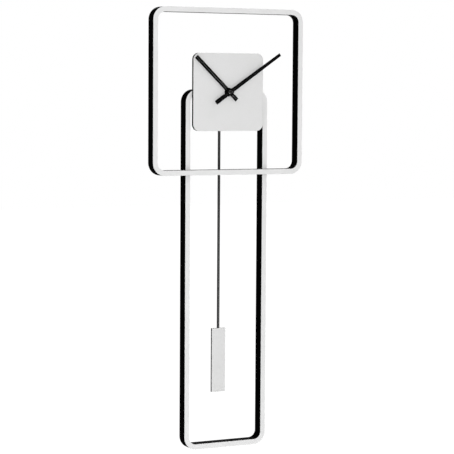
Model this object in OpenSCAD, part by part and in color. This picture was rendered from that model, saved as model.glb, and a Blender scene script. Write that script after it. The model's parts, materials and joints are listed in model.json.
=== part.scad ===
// Pendulum wall clock: two crossed frames, a square dial and a bar pendulum.
// X runs to the right, Y runs from the dial to the wall, Z runs up.
// The modules are drawn with the hand arbor at X = 0, Z = 0 and the front of
// the upper frame at Y = 0. placed() then moves them so that the origin is the
// centre of the keyhole, on the wall plane.

/* [Upper frame] */
// Outer side of the square frame
upper_size = 300; // [240:1:400]
// Seen width of every frame bar
frame_bar = 9.2; // [6:0.2:16]
// Depth of both frames, front to back
frame_depth = 22; // [16:0.5:30]
// Outer corner radius of both frames
frame_corner = 23; // [12:0.5:40]
// Height of the square's centre over the hand arbor
frame_lift = 0.7; // [0:0.1:4]
// Thickness of the white laminate on every front
face_thick = 0.8; // [0.5:0.1:1.5]

/* [Lower frame] */
// Outer width of the tall frame
lower_width = 164; // [150:1:200]
// Outer height of the tall frame
lower_height = 654; // [500:1:900]
// How far its front lies behind the front of the square
lower_setback = 9; // [6:0.5:12]
// Height of its top edge over the hand arbor
lower_top = 4.7; // [4:0.1:6]
// Play on each side of the halved crossing
cross_play = 0.1; // [0.05:0.05:0.3]

/* [Dial] */
// Side of the square dial
dial_size = 140; // [120:1:180]
// Corner radius of the dial
dial_corner = 12; // [6:0.5:20]
// Distance of the dial behind the front of the square
dial_inset = 3.5; // [2:0.1:6]

/* [Hands] */
// Reach of the hour hand
hour_reach = 92; // [70:1:100]
// Tail of the hour hand
hour_tail = 20.5; // [15:0.5:30]
// Width of the hour hand
hour_width = 7.5; // [5:0.1:10]
// Turn of the hour hand to the left of twelve at rest
hour_turn = 46.4; // [0:0.1:90]
// Reach of the minute hand
minute_reach = 122.5; // [100:0.5:130]
// Tail of the minute hand
minute_tail = 34.5; // [20:0.5:40]
// Width of the minute hand at its tail
minute_tail_width = 7.8; // [5:0.1:10]
// Width of the minute hand at its tip
minute_tip_width = 5.8; // [3:0.1:8]
// Turn of the minute hand to the right of twelve at rest
minute_turn = 55.8; // [0:0.1:90]
// Diameter of the round middle of each hand
hub_dia = 14.7; // [12:0.1:18]
// Thickness of the hand sheet
hand_thick = 0.6; // [0.4:0.1:1]

/* [Pendulum] */
// Diameter of the pendulum rod
rod_dia = 5; // [3:0.1:8]
// Distance of the rod's axis behind the front of the square
rod_y = 40.8; // [40.4:0.1:41.2]
// Width of the bob
bob_width = 27.5; // [20:0.5:40]
// Height of the bob
bob_height = 118; // [80:1:160]
// Depth of the bob's top under the hand arbor
bob_drop = 433.5; // [300:0.5:500]
// Thickness of the bob's dark board
bob_board_thick = 3.4; // [2.6:0.1:5]
// Depth of the swing pin under the hand arbor
pivot_drop = 20; // [18:0.5:24]

/* [Wall side] */
// Distance from the front of the square to the wall
wall_y = 50; // [49:0.5:56]
// Height of the keyhole over the hand arbor
keyhole_rise = 42; // [40:1:46]
// Radius of the round part of the keyhole
keyhole_r = 4.5; // [4:0.1:6]
// Width of the box behind the dial
box_width = 96; // [90:1:100]

/* [Gearing] */
// Tooth size between the arbor and the hour wheel
motion_module = 0.5; // [0.5:0.05:0.5]
// Teeth of the pinion on the hand arbor
cannon_teeth = 10; // [10:1:10]
// Teeth of the minute wheel
minute_wheel_teeth = 30; // [30:1:30]
// Teeth of the minute wheel's pinion
minute_pinion_teeth = 8; // [8:1:8]
// Teeth of the hour wheel
hour_wheel_teeth = 32; // [32:1:32]
// Tooth size between the centre wheel and the third pinion
centre_module = 0.4; // [0.4:0.05:0.4]
// Teeth of the centre wheel
centre_wheel_teeth = 48; // [48:1:48]
// Tooth size between the third wheel and the rotor
rotor_module = 0.35; // [0.35:0.05:0.35]
// Teeth of the third wheel
third_wheel_teeth = 45; // [45:1:45]
// Leaves of the third pinion and of the rotor pinion
fine_leaves = 6; // [6:1:6]

/* [Fits] */
// Radial play of a turning part in its bearing
run_play = 0.06; // [0.02:0.01:0.1]

/* [Hidden] */
$fn = 64;
eps = 0.01;

case_w = 62;
case_front_y = 10;
case_split_y = 24;
case_back_y = 36.5;
case_top = 28;
case_bottom = -66;
case_h = case_top - case_bottom;
case_mid = (case_top + case_bottom) / 2;
case_wall = 1.6;
floor_y = case_front_y + case_wall;
cover_y = case_back_y - case_wall;

dial_front = dial_inset;
dial_back = lower_setback;
lower_front = lower_setback;
lower_back = lower_setback + frame_depth;
lower_bottom = lower_top - lower_height;
upper_bottom = frame_lift - upper_size / 2;
half_y = (lower_front + frame_depth) / 2;

box_front = dial_back;
box_top = 60;
box_bottom = -68;
box_h = box_top - box_bottom;
box_mid = (box_top + box_bottom) / 2;
box_wall = 3;
flange = 13;
dial_screw_x = box_width / 2 - 7;
frame_screw_y = [lower_front + 6.5, lower_back - 5.5];
frame_screw_len = 15;
spacer_x = lower_width / 4;
spacer_z = lower_bottom + 2.6;
spacer_r = 2.4;
pad_thick = 1.6;
window_w = 72;
window_top = 24;

// levels inside the movement, from the dial side to the back
hour_disc_y = floor_y + 0.5;
cannon_y = floor_y + 2.15;
motion_y = floor_y + 2.3;
centre_y = floor_y + 4.2;
third_y = floor_y + 5.8;
plate_y = floor_y + 8;
plate_back = plate_y + 1;
stator_y = floor_y + 2.1;
core_y = stator_y + 1;
coil_x = -18.5;
coil_y = core_y + 0.5;
coil_top = -4;
coil_foot = -22;
core_w = 4;
magnet_y = floor_y + 1.3;
knob_y = case_back_y + 0.7;
bridge_y = 43.6;
bridge_foot_x = 9;
leader_y = 39;
leader_thick = 3.6;
leader_w = 8;

bush_r = 4.5;
bush_len = case_front_y + 0.1;
pipe_r = 2.55;
arbor_r = 1.75;
post_r = 0.64;
shaft_r = 1.5;
pin_r = 0.9;
hook_pin_r = 1.2;
spigot_r = 1;
magnet_r = 5;
shank_r = 1.2;
frame_shank_r = 1.5;

bob_face_y = rod_y - bob_board_thick / 2 - face_thick;
bob_mid = -bob_drop - bob_height / 2;
rod_top = -68;
hook_z = -61;
coil_z = -48;

// centres of the wheels, as directions from the wheel they mesh with
motion_dist = motion_module * (cannon_teeth + minute_wheel_teeth) / 2;
motion_dir = 70;
minute_c = motion_dist * [cos(motion_dir), sin(motion_dir)];
set_dir = 20;
set_c = minute_c + motion_dist * [cos(set_dir), sin(set_dir)];
third_dist = centre_module * (centre_wheel_teeth + fine_leaves) / 2;
third_dir = 160;
third_c = third_dist * [cos(third_dir), sin(third_dir)];
rotor_dist = rotor_module * (third_wheel_teeth + fine_leaves) / 2;
rotor_dir = 160;
rotor_c = third_c + rotor_dist * [cos(rotor_dir), sin(rotor_dir)];

// angle of a tooth on the second gear that meshes with a tooth at a1 on the first
function mesh(a1, z1, z2, dir) = dir + 180 + 180 / z2 - (a1 - dir) * z1 / z2;

cannon_a = motion_dir;
minute_a = mesh(cannon_a, cannon_teeth, minute_wheel_teeth, motion_dir);
set_a = mesh(minute_a, minute_wheel_teeth, cannon_teeth, set_dir);
minute_pinion_a = motion_dir + 180;
hour_a = mesh(minute_pinion_a, minute_pinion_teeth, hour_wheel_teeth, motion_dir + 180);
centre_a = third_dir;
third_pinion_a = mesh(centre_a, centre_wheel_teeth, fine_leaves, third_dir);
third_a = rotor_dir;
rotor_a = mesh(third_a, third_wheel_teeth, fine_leaves, rotor_dir);

// half a tooth, walked up one side and down the other
function tooth(rr, rp, rt, ap, at) = [[rr, -ap], [rp, -ap], [rt, -at], [rt, at], [rp, ap], [rr, ap]];
function gear_points(n, m, wide, tip, add, ded) =
    let (rp = n * m / 2, rt = rp + add * m, rr = rp - ded * m)
    let (ap = wide * m / 2 / rp * 180 / PI, at = tip * m / 2 / rt * 180 / PI)
    [for (i = [0 : n - 1]) for (p = tooth(rr, rp, rt, ap, at))
        p[0] * [cos(i * 360 / n + p[1]), sin(i * 360 / n + p[1])]];

module placed() {
    translate([0, -wall_y, -keyhole_rise]) children();
}

// flat shape in X and Z, drawn from y0 to y1
module slab(y0, y1) {
    translate([0, y1, 0]) rotate([90, 0, 0]) linear_extrude(height = y1 - y0) children();
}

module at_xz(c) {
    translate([c[0], 0, c[1]]) children();
}

// round bar along Y
module post(r, y0, y1) {
    translate([0, y1, 0]) rotate([90, 0, 0]) cylinder(r = r, h = y1 - y0);
}

// round bar along Z
module upright(r, z0, z1) {
    translate([0, 0, z0]) cylinder(r = r, h = z1 - z0);
}

module rounded(w, h, r) {
    square([w - 2 * r, h], center = true);
    square([w, h - 2 * r], center = true);
    for (sx = [-1, 1])
        for (sy = [-1, 1])
            translate([sx * (w / 2 - r), sy * (h / 2 - r)]) circle(r = r);
}

module ring_frame(w, h) {
    difference() {
        rounded(w, h, frame_corner);
        rounded(w - 2 * frame_bar, h - 2 * frame_bar, frame_corner - frame_bar);
    }
}

module wheel_shape(n, m) {
    polygon(gear_points(n, m, 1.3, 0.5, 1.0, 1.4));
}

module leaf_shape(n, m) {
    polygon(gear_points(n, m, 1.0, 0.4, 0.8, 1.5));
}

// ---- frames ----

module upper_shape(y0, y1) {
    translate([0, 0, frame_lift]) slab(y0, y1) ring_frame(upper_size, upper_size);
}

module lower_shape(y0, y1) {
    translate([0, 0, lower_top - lower_height / 2]) slab(y0, y1) ring_frame(lower_width, lower_height);
}

module side_bars(grow, y0, y1) {
    for (s = [-1, 1])
        translate([s * (lower_width - frame_bar) / 2, 0, 0])
            slab(y0, y1)
                translate([0, upper_bottom + frame_bar / 2])
                    square([frame_bar + 2 * grow, frame_bar + 20], center = true);
}

module bottom_bar(grow, y0, y1) {
    translate([0, 0, upper_bottom + frame_bar / 2])
        slab(y0, y1) square([lower_width + 20, frame_bar + 2 * grow], center = true);
}

module upper_frame() {
    color("#0b0b0b") difference() {
        upper_shape(face_thick, frame_depth);
        side_bars(cross_play, half_y, frame_depth + 1);
    }
}

module upper_face() {
    color("#e9e9e9") upper_shape(0, face_thick);
}

module box_gap(y0, y1) {
    slab(y0, y1) square([box_width, 3 * frame_bar], center = true);
}

module spacer_seat() {
    for (s = [-1, 1])
        at_xz([s * spacer_x, spacer_z]) post(shank_r, lower_back - 8, lower_back + 1);
}

module frame_screw_holes() {
    for (s = [-1, 1])
        for (y = frame_screw_y)
            translate([s * (box_width / 2 - box_wall - 1), y, 0])
                rotate([0, s * 90, 0]) cylinder(r = frame_shank_r, h = frame_screw_len + 1);
}

module lower_frame() {
    color("#0b0b0b") difference() {
        lower_shape(lower_front + face_thick, lower_back);
        bottom_bar(cross_play, lower_front - 1, half_y);
        box_gap(lower_front - 1, lower_back + 1);
        spacer_seat();
        frame_screw_holes();
    }
}

module lower_face() {
    color("#e9e9e9") difference() {
        lower_shape(lower_front, lower_front + face_thick);
        bottom_bar(cross_play, lower_front - 1, half_y);
        box_gap(lower_front - 1, lower_back + 1);
    }
}

// ---- dial ----

dial_screw_at = [for (sx = [-1, 1]) for (z = [box_top - 8, box_bottom + 8]) [sx * dial_screw_x, z]];

module dial_board() {
    color("#151515") difference() {
        slab(dial_front + face_thick, dial_back) rounded(dial_size, dial_size, dial_corner);
        post(bush_r, 0, dial_back + 1);
        for (c = dial_screw_at) at_xz(c) post(shank_r, dial_back - 3.2, dial_back + 1);
    }
}

module dial_face() {
    color("#e6e6e6") difference() {
        slab(dial_front, dial_front + face_thick) rounded(dial_size, dial_size, dial_corner);
        post(bush_r, 0, dial_back);
    }
}

// ---- box behind the dial ----

hanger_screw_x = 22;
hanger_z0 = keyhole_rise - 12;
hanger_z1 = keyhole_rise + 16;

// rounded at the top, with square feet
module box_outline(inset) {
    translate([0, box_mid]) rounded(box_width - 2 * inset, box_h - 2 * inset, 6 - inset);
    translate([inset - box_width / 2, box_bottom + inset]) square([box_width - 2 * inset, 2 * flange]);
}

module back_box() {
    color("#141414") difference() {
        union() {
            difference() {
                slab(box_front, wall_y) box_outline(0);
                slab(box_front + box_wall, wall_y - box_wall) box_outline(box_wall);
                // the dial side, inside the screw flange
                translate([0, box_front - 1, box_bottom - 1])
                    translate([-box_width / 2 + flange, 0, 0]) cube([box_width - 2 * flange, box_wall + 2, 113]);
                // open foot for the pendulum
                translate([-box_width / 2 + box_wall, box_front + box_wall, box_bottom - 1])
                    cube([box_width - 2 * box_wall, wall_y - box_front, 12]);
                // opening to the movement
                translate([-window_w / 2, wall_y - box_wall - 1, box_bottom - 1])
                    cube([window_w, box_wall + 2, window_top - box_bottom + 1]);
            }
            for (s = [-1, 1])
                at_xz([s * hanger_screw_x, keyhole_rise + 2]) post(3.5, wall_y - 9, wall_y - box_wall + eps);
            // flange pads for the dial screws
            for (s = [-1, 1])
                at_xz([s * dial_screw_x, box_bottom + 8]) post(4, box_front, box_front + box_wall);
        }
        // seat of the hanger plate and room for the screw head
        translate([-30, wall_y - 1.5, hanger_z0]) cube([60, 3, hanger_z1 - hanger_z0]);
        translate([-7, wall_y - 4, keyhole_rise - 7]) cube([14, 5, 19]);
        for (s = [-1, 1])
            at_xz([s * hanger_screw_x, keyhole_rise + 2]) post(1.4, wall_y - 8, wall_y + 1);
        for (c = dial_screw_at) at_xz(c) post(shank_r, box_front - 1, box_front + box_wall + 1);
        frame_screw_holes();
    }
}

module hanger_plate() {
    color("#b9bdc0") difference() {
        translate([-30, wall_y - 1.5, hanger_z0]) cube([60, 1.5, hanger_z1 - hanger_z0]);
        at_xz([0, keyhole_rise]) post(keyhole_r, wall_y - 3, wall_y + 1);
        translate([-2.2, wall_y - 3, keyhole_rise]) cube([4.4, 4, 8]);
        at_xz([0, keyhole_rise + 8]) post(2.2, wall_y - 3, wall_y + 1);
        for (s = [-1, 1])
            at_xz([s * hanger_screw_x, keyhole_rise + 2]) countersink(1);
    }
}

module countersink(over) {
    translate([0, wall_y, 0]) rotate([90, 0, 0]) cylinder(r1 = 2.8, r2 = 1.4, h = 1.4);
    post(1.4, wall_y - 1.5 - over, wall_y);
}

module hanger_screws() {
    color("#8f9498") for (s = [-1, 1])
        at_xz([s * hanger_screw_x, keyhole_rise + 2]) difference() {
            countersink(6);
            translate([0, wall_y, 0]) rotate([90, 0, 0]) linear_extrude(height = 0.8) square([3.4, 0.7], center = true);
            translate([0, wall_y, 0]) rotate([90, 0, 0]) linear_extrude(height = 0.8) square([0.7, 3.4], center = true);
        }
}

// pan head screw along Y with its head at y0 to y0 + head, pointing to the dial
module pan_screw(head_r, head_h, r, seat, tip) {
    difference() {
        union() {
            post(head_r, seat, seat + head_h);
            post(r, tip, seat + eps);
        }
        slab(seat + head_h - 0.7, seat + head_h + 1) square([head_r * 1.2, 0.6], center = true);
        slab(seat + head_h - 0.7, seat + head_h + 1) square([0.6, head_r * 1.2], center = true);
    }
}

module frame_screws() {
    color("#8f9498") for (s = [-1, 1])
        for (y = frame_screw_y)
            translate([s * (box_width / 2 - box_wall), y, 0]) rotate([0, s * 90, 0]) difference() {
                union() {
                    cylinder(r = frame_shank_r, h = frame_screw_len);
                    translate([0, 0, -2]) cylinder(r = 2.8, h = 2);
                }
                translate([0, 0, -2.5]) linear_extrude(height = 1.2) square([3.6, 0.7], center = true);
                translate([0, 0, -2.5]) linear_extrude(height = 1.2) square([0.7, 3.6], center = true);
            }
}

module dial_screws() {
    color("#8f9498") for (c = dial_screw_at)
        at_xz(c) pan_screw(2.4, 1.8, shank_r, box_front + box_wall, dial_back - 3);
}

module wall_spacers() {
    color("#1a1a1a") for (s = [-1, 1])
        at_xz([s * spacer_x, spacer_z]) {
            post(shank_r, lower_back - 7.5, lower_back + 1);
            post(spacer_r, lower_back, wall_y - pad_thick);
        }
}

module wall_pads() {
    color("#2a2a2a") for (s = [-1, 1])
        at_xz([s * spacer_x, spacer_z]) post(spacer_r, wall_y - pad_thick, wall_y);
}

// ---- movement case ----

case_screw_at = [[-27.5, 24.5], [27.5, 24.5], [-27.5, -62.5], [8.5, -62.5]];
plate_post_at = [[-23, 20], [25, 20], [22, -5]];
board_post_at = [[-24, -32], [5, -32], [-24, -58], [5, -58]];
bay_x0 = 12.3;
bay_x1 = 29.4;
bay_z0 = -64.4;
bay_z1 = -10.6;
bay_floor = 18.9;
relief = 0.4;
rim = 0.6;
cell_x = 20.85;
cell_y = 27.7;
cell_z0 = -63;

module case_outline(inset) {
    translate([0, case_mid]) rounded(case_w - 2 * inset, case_h - 2 * inset, 5 - inset);
}

// the bush carries shallow ring grooves where the nut screws on
module bush_shape() {
    translate([0, case_front_y + 0.5, 0]) rotate([90, 0, 0]) rotate_extrude()
        polygon(concat([[pipe_r + run_play, 0], [bush_r, 0]],
            [for (i = [4 : -1 : 1]) for (p = [[bush_r, bush_len - i * 0.6], [bush_r - 0.2, bush_len + 0.3 - i * 0.6]]) p],
            [[bush_r, bush_len - 0.3], [bush_r - 0.3, bush_len], [pipe_r + run_play, bush_len]]));
}

module case_front() {
    color("#1b1b1b") difference() {
        union() {
            difference() {
                slab(case_front_y, case_split_y) case_outline(0);
                slab(floor_y, case_split_y + 1) case_outline(case_wall);
            }
            bush_shape();
            at_xz(minute_c) post(post_r, floor_y - 0.5, centre_y - 0.5);
            for (c = plate_post_at) at_xz(c) post(1.7, floor_y - 0.5, plate_y);
            for (c = board_post_at) at_xz(c) post(1.5, floor_y - 0.5, plate_y);
            for (c = case_screw_at) at_xz(c) post(2.4, floor_y - 0.5, case_split_y);
        }
        post(pipe_r + run_play, -1, floor_y + 1);
        for (c = plate_post_at) at_xz(c) post(0.8, plate_y - 5, plate_y + 1);
        for (c = case_screw_at) at_xz(c) post(1, floor_y + 1, case_split_y + 1);
        at_xz(third_c) post(0.4 + run_play, floor_y - 1, floor_y + 1);
        at_xz(rotor_c) post(0.4 + run_play, floor_y - 1, floor_y + 1);
        at_xz(set_c) post(0.8 + run_play, floor_y - 1, floor_y + 1);
    }
}

module bay_walls() {
    translate([bay_x0 - 1.2, bay_floor, bay_z0 - 0.4]) cube([case_w / 2 - bay_x0 + 1.2 - 0.2, cover_y + 0.5 - bay_floor, bay_z1 - bay_z0 + 1.6]);
}

// raised marks on the back: a rim round the battery bay, a ring and pointer by the knob, plus and minus
module case_relief() {
    slab(case_back_y - 0.2, case_back_y + relief) {
        intersection() {
            case_outline(0.4);
            translate([bay_x0 - rim, bay_z0 - rim]) square([bay_x1 - bay_x0 + 2 * rim, bay_z1 - bay_z0 + 2 * rim]);
        }
        translate(set_c) difference() {
            circle(r = 7.6);
            circle(r = 6.8);
        }
        translate(set_c) polygon([[8.2, -1.3], [8.2, 1.3], [10.2, 0]]);
        translate([bay_x0 - 3.4, bay_z1 - 2]) square([3, 0.8], center = true);
        translate([bay_x0 - 3.4, bay_z1 - 2]) square([0.8, 3], center = true);
        translate([bay_x0 - 3.4, bay_z0 + 9]) square([3, 0.8], center = true);
    }
}

module case_rear() {
    color("#1b1b1b") difference() {
        union() {
            case_relief();
            difference() {
                slab(case_split_y, case_back_y) case_outline(0);
                slab(case_split_y - 1, cover_y) case_outline(case_wall);
            }
            intersection() {
                bay_walls();
                slab(bay_floor, cover_y + 0.5) case_outline(case_wall);
            }
            for (c = case_screw_at) at_xz(c) post(2.4, case_split_y, cover_y + 0.5);
            at_xz([0, -pivot_drop]) post(3, cover_y - 3, cover_y + 0.5);
            // collar that carries the drive coil
            at_xz([0, coil_z]) difference() {
                post(10.4, cover_y - 4, cover_y + 0.5);
                post(9.4, cover_y - 5, cover_y);
            }
        }
        // battery bay
        translate([bay_x0, bay_floor + 1.2, bay_z0]) cube([bay_x1 - bay_x0, 30, bay_z1 - bay_z0]);
        for (c = case_screw_at) at_xz(c) {
            post(1, case_split_y - 1, case_back_y - 2);
            post(1.9, case_back_y - 2, case_back_y + 1);
        }
        at_xz(set_c) post(shaft_r + run_play, cover_y - 1, case_back_y + 1);
        at_xz([0, -pivot_drop]) post(pin_r, cover_y - 2.5, case_back_y + 1);
        for (s = [-1, 1]) at_xz([s * bridge_foot_x, -pivot_drop]) post(0.8, cover_y - 1, case_back_y + 1);
    }
}

module case_screws() {
    color("#8f9498") for (c = case_screw_at)
        at_xz(c) difference() {
            union() {
                post(1.9, case_back_y - 2, case_back_y - 0.4);
                post(1, case_split_y - 8, case_back_y - 1.9);
            }
            slab(case_back_y - 1, case_back_y + 1) square([2.4, 0.5], center = true);
            slab(case_back_y - 1, case_back_y + 1) square([0.5, 2.4], center = true);
        }
}

module gasket() {
    color("#222222") difference() {
        post(bush_r + 6.5, dial_back, case_front_y);
        post(bush_r, dial_back - 1, case_front_y + 1);
    }
}

module dial_washer() {
    color("#101010") difference() {
        post(8, dial_front - 0.5, dial_front);
        post(bush_r, dial_front - 1, dial_front + 1);
    }
}

module bush_nut() {
    color("#101010") difference() {
        translate([0, dial_front - 0.5, 0]) rotate([90, 0, 0]) cylinder(r = 6.6, h = 2, $fn = 6);
        post(bush_r, -1, dial_front + 1);
    }
}

// ---- inside the movement ----

module bearing_plate() {
    color("#c9b27a") difference() {
        slab(plate_y, plate_back) translate([-0.5, 9]) rounded(57, 32, 3);
        post(0.8 + run_play, plate_y - 1, plate_back + 1);
        at_xz(third_c) post(0.4 + run_play, plate_y - 1, plate_back + 1);
        at_xz(rotor_c) post(0.4 + run_play, plate_y - 1, plate_back + 1);
        at_xz(set_c) post(shaft_r + run_play, plate_y - 1, plate_back + 1);
        for (c = plate_post_at) at_xz(c) post(0.8, plate_y - 1, plate_back + 1);
        // clear of the case screw pillars
        for (c = case_screw_at) at_xz(c) post(2.8, plate_y - 1, plate_back + 1);
        // lightening slots
        slab(plate_y - 1, plate_back + 1) translate([-3, 19]) rounded(22, 5, 2.4);
    }
}

module plate_screws() {
    color("#8f9498") for (c = plate_post_at)
        at_xz(c) pan_screw(1.6, 1, 0.8, plate_back, plate_y - 4.5);
}

module stator() {
    color("#8d9094") {
        difference() {
            slab(stator_y, core_y) {
                translate([coil_x - 7.5, coil_top + 3]) square([14.2, 14]);
                translate([coil_x - 7.5, coil_foot - 5]) square([3, 27]);
                translate([coil_x - 7.5, coil_foot - 5]) square([9.5, 4]);
            }
            at_xz(rotor_c) post(3, stator_y - 1, core_y + 1);
            // the two saturation notches
            at_xz([rotor_c[0], rotor_c[1] + 6.3]) post(2.2, stator_y - 1, core_y + 1);
            at_xz([rotor_c[0] + 5.6, rotor_c[1] - 7.7]) post(1.6, stator_y - 1, core_y + 1);
        }
        slab(core_y, core_y + 1) translate([coil_x - core_w / 2, coil_foot - 5]) square([core_w, 28]);
    }
}

module motor_bobbin() {
    color("#e8e2cf") difference() {
        translate([coil_x, coil_y, 0]) {
            upright(2.5, coil_foot, coil_top);
            upright(3.55, coil_foot, coil_foot + 0.9);
            upright(3.55, coil_top - 0.9, coil_top);
        }
        slab(core_y, core_y + 1) translate([coil_x - core_w / 2, coil_foot - 8]) square([core_w, 40]);
    }
}

module motor_winding() {
    color("#a8551f") translate([coil_x, coil_y, 0]) difference() {
        upright(3.2, coil_foot + 0.9, coil_top - 0.9);
        upright(2.5, coil_foot, coil_top);
    }
}

module circuit_board() {
    color("#1f5a3a") difference() {
        slab(plate_y, plate_back) translate([-9.5, -45]) rounded(36, 33, 1.5);
        for (c = [[-27.5, -62.5], [8.5, -62.5]]) at_xz(c) post(3, plate_y - 1, plate_back + 1);
        slab(plate_y - 1, plate_back + 1) translate([-9.5, -34]) square([4, 1], center = true);
    }
}

module chip_cover() {
    color("#0d0d0d") at_xz([-12, -44]) post(4, plate_back, plate_back + 1.2);
}

module crystal() {
    color("#c7cacc") translate([-24, plate_back + 1, -50]) upright(1, 0, 6);
}

module battery() {
    color("#27302c") translate([cell_x, cell_y, 0]) {
        upright(7.1, cell_z0 + 0.3, cell_z0 + 49.2);
        upright(2.7, cell_z0 + 49, cell_z0 + 50.4);
    }
}

module contact_plus() {
    color("#d7d3c4") translate([cell_x - 5, cell_y - 5, bay_z1 - 0.4]) {
        cube([10, 10, 0.4]);
        translate([0, -2.6, -4]) cube([10, 0.4, 4.4]);
        translate([0, -2.6, 0]) cube([10, 3, 0.4]);
    }
}

module contact_minus() {
    color("#d7d3c4") translate([cell_x, cell_y, bay_z0]) {
        translate([-5, -5, 0]) cube([10, 10, 0.4]);
        upright(3.2, 0, 0.8);
        upright(2, 0.5, 1.3);
    }
}

module drive_bobbin() {
    color("#e8e2cf") at_xz([0, coil_z]) difference() {
        union() {
            post(2.4, cover_y - 6.4, cover_y);
            post(9.2, cover_y - 6.4, cover_y - 5.6);
            post(9.2, cover_y - 0.8, cover_y);
        }
        post(1.2, cover_y - 7, cover_y - 1.5);
    }
}

module drive_winding() {
    color("#a8551f") at_xz([0, coil_z]) difference() {
        post(8.6, cover_y - 5.6, cover_y - 0.8);
        post(2.4, cover_y - 6, cover_y);
    }
}

module pivot_pin() {
    color("#c3c7ca") at_xz([0, -pivot_drop]) post(pin_r, cover_y - 2.5, bridge_y + 1);
}

module swing_bridge() {
    color("#2b2b2b") difference() {
        union() {
            slab(bridge_y, bridge_y + 1.6) translate([0, -pivot_drop]) rounded(2 * bridge_foot_x + 6, 9, 2);
            for (s = [-1, 1])
                slab(case_back_y, bridge_y + 0.1)
                    translate([s * bridge_foot_x, -pivot_drop]) square([5, 7], center = true);
        }
        at_xz([0, -pivot_drop]) post(pin_r, bridge_y - 1, bridge_y + 1);
        for (s = [-1, 1]) at_xz([s * bridge_foot_x, -pivot_drop]) post(0.8, case_back_y - 1, bridge_y + 3);
    }
}

module bridge_screws() {
    color("#8f9498") for (s = [-1, 1])
        at_xz([s * bridge_foot_x, -pivot_drop]) pan_screw(1.7, 1.2, 0.8, bridge_y + 1.6, cover_y - 1);
}

// ---- hands and the wheels that drive them ----

hour_y = -1.6;
minute_y = -4.1;
hour_pipe_end = hour_y - 0.2;
arbor_step = minute_y + hand_thick + 1.4;
rib_rise = 0.5;
cap_r = 4.2;

// pressed rib along a hand from a to b: two slopes that meet in a ridge
module rib(a, b, wide, y) {
    translate([0, y, a]) linear_extrude(height = b - a)
        polygon([[-wide / 2, 0.1], [0, -rib_rise], [wide / 2, 0.1]]);
}

module hour_hand() {
    color("#080808") rotate([0, -hour_turn, 0]) difference() {
        union() {
            slab(hour_y, hour_y + hand_thick) {
                translate([-hour_width / 2, -hour_tail]) square([hour_width, hour_reach + hour_tail]);
                circle(d = hub_dia);
            }
            rib(hub_dia / 2 - 1, hour_reach - 0.8, 3.4, hour_y);
            rib(-hour_tail + 0.8, -hub_dia / 2 + 1, 3.4, hour_y);
            post(4.2, hour_y, hour_y + 1.5);
        }
        post(pipe_r, hour_y - 1, hour_y + 3);
    }
}

module minute_hand() {
    color("#080808") rotate([0, minute_turn, 0]) difference() {
        union() {
            slab(minute_y, minute_y + hand_thick) {
                polygon([
                    [-minute_tail_width / 2, -minute_tail], [minute_tail_width / 2, -minute_tail],
                    [minute_tip_width / 2, minute_reach], [-minute_tip_width / 2, minute_reach]]);
                circle(d = hub_dia);
            }
            rib(hub_dia / 2 - 1, minute_reach - 0.8, 2.8, minute_y);
            rib(-minute_tail + 0.8, -hub_dia / 2 + 1, 2.8, minute_y);
            post(3, minute_y, minute_y + 1.4);
        }
        post(1.2, minute_y - 1, minute_y + 3);
    }
}

// domed cap nut
module hand_cap() {
    color("#0a0a0a") translate([0, minute_y, 0]) rotate([90, 0, 0]) rotate_extrude()
        polygon([[0.9, 0], [cap_r, 0], [cap_r, 0.6], [0.9 * cap_r, 1.15], [0.7 * cap_r, 1.65],
            [0.4 * cap_r, 1.95], [0, 2.05], [0, 1.2], [0.9, 1.2]]);
}

module hour_wheel() {
    color("#c8a04a") difference() {
        union() {
            slab(hour_disc_y, hour_disc_y + 1) rotate(hour_a) wheel_shape(hour_wheel_teeth, motion_module);
            post(3.6, floor_y + 0.15, cannon_y - 0.25);
            post(pipe_r, hour_pipe_end, hour_disc_y + 0.1);
        }
        post(arbor_r + run_play, hour_pipe_end - 1, cannon_y);
        for (i = [0 : 3]) rotate([0, i * 90 + 20, 0]) at_xz([5.4, 0]) post(1.2, floor_y, cannon_y);
    }
}

module centre_arbor() {
    color("#d0d3d5") {
        post(arbor_r, arbor_step, cannon_y + 0.05);
        post(1.2, minute_y, arbor_step + eps);
        post(0.9, minute_y - 1.2, minute_y + eps);
        slab(cannon_y, cannon_y + 1.55) rotate(cannon_a) leaf_shape(cannon_teeth, motion_module);
        post(1.6, cannon_y + 1.5, third_y + 0.6);
        post(0.8, third_y + 0.5, plate_back + 0.6);
    }
}

module centre_wheel() {
    color("#c8a04a") difference() {
        slab(centre_y, centre_y + 0.8) rotate(centre_a) wheel_shape(centre_wheel_teeth, centre_module);
        post(1.6, centre_y - 1, centre_y + 1);
        for (i = [0 : 4]) rotate([0, i * 72, 0]) at_xz([5.4, 0]) post(2.1, centre_y - 1, centre_y + 1);
    }
}

module minute_wheel() {
    color("#e6dcc2") at_xz(minute_c) difference() {
        union() {
            slab(motion_y, motion_y + 1) rotate(minute_a) wheel_shape(minute_wheel_teeth, motion_module);
            slab(hour_disc_y - 0.2, motion_y + 0.05)
                rotate(minute_pinion_a) leaf_shape(minute_pinion_teeth, motion_module);
        }
        post(post_r + run_play, floor_y - 1, centre_y);
    }
}

module third_wheel() {
    color("#e6dcc2") at_xz(third_c) {
        slab(centre_y - 0.4, third_y - 0.2) rotate(third_pinion_a) leaf_shape(fine_leaves, centre_module);
        slab(third_y, third_y + 0.8) rotate(third_a) wheel_shape(third_wheel_teeth, rotor_module);
        post(0.6, floor_y + 0.2, plate_y - 0.2);
        post(1.3, third_y - 0.3, third_y + 0.1);
        post(0.4, floor_y - 0.8, plate_back);
    }
}

module rotor_pinion() {
    color("#e6dcc2") at_xz(rotor_c) {
        slab(third_y - 0.3, third_y + 1.2) rotate(rotor_a) leaf_shape(fine_leaves, rotor_module);
        post(1.6, magnet_y - 0.5, magnet_y);
        post(0.5, floor_y + 0.2, plate_y - 0.2);
        post(1.6, magnet_y + 2.6, magnet_y + 3.1);
        post(0.4, floor_y - 0.8, plate_back);
    }
}

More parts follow.
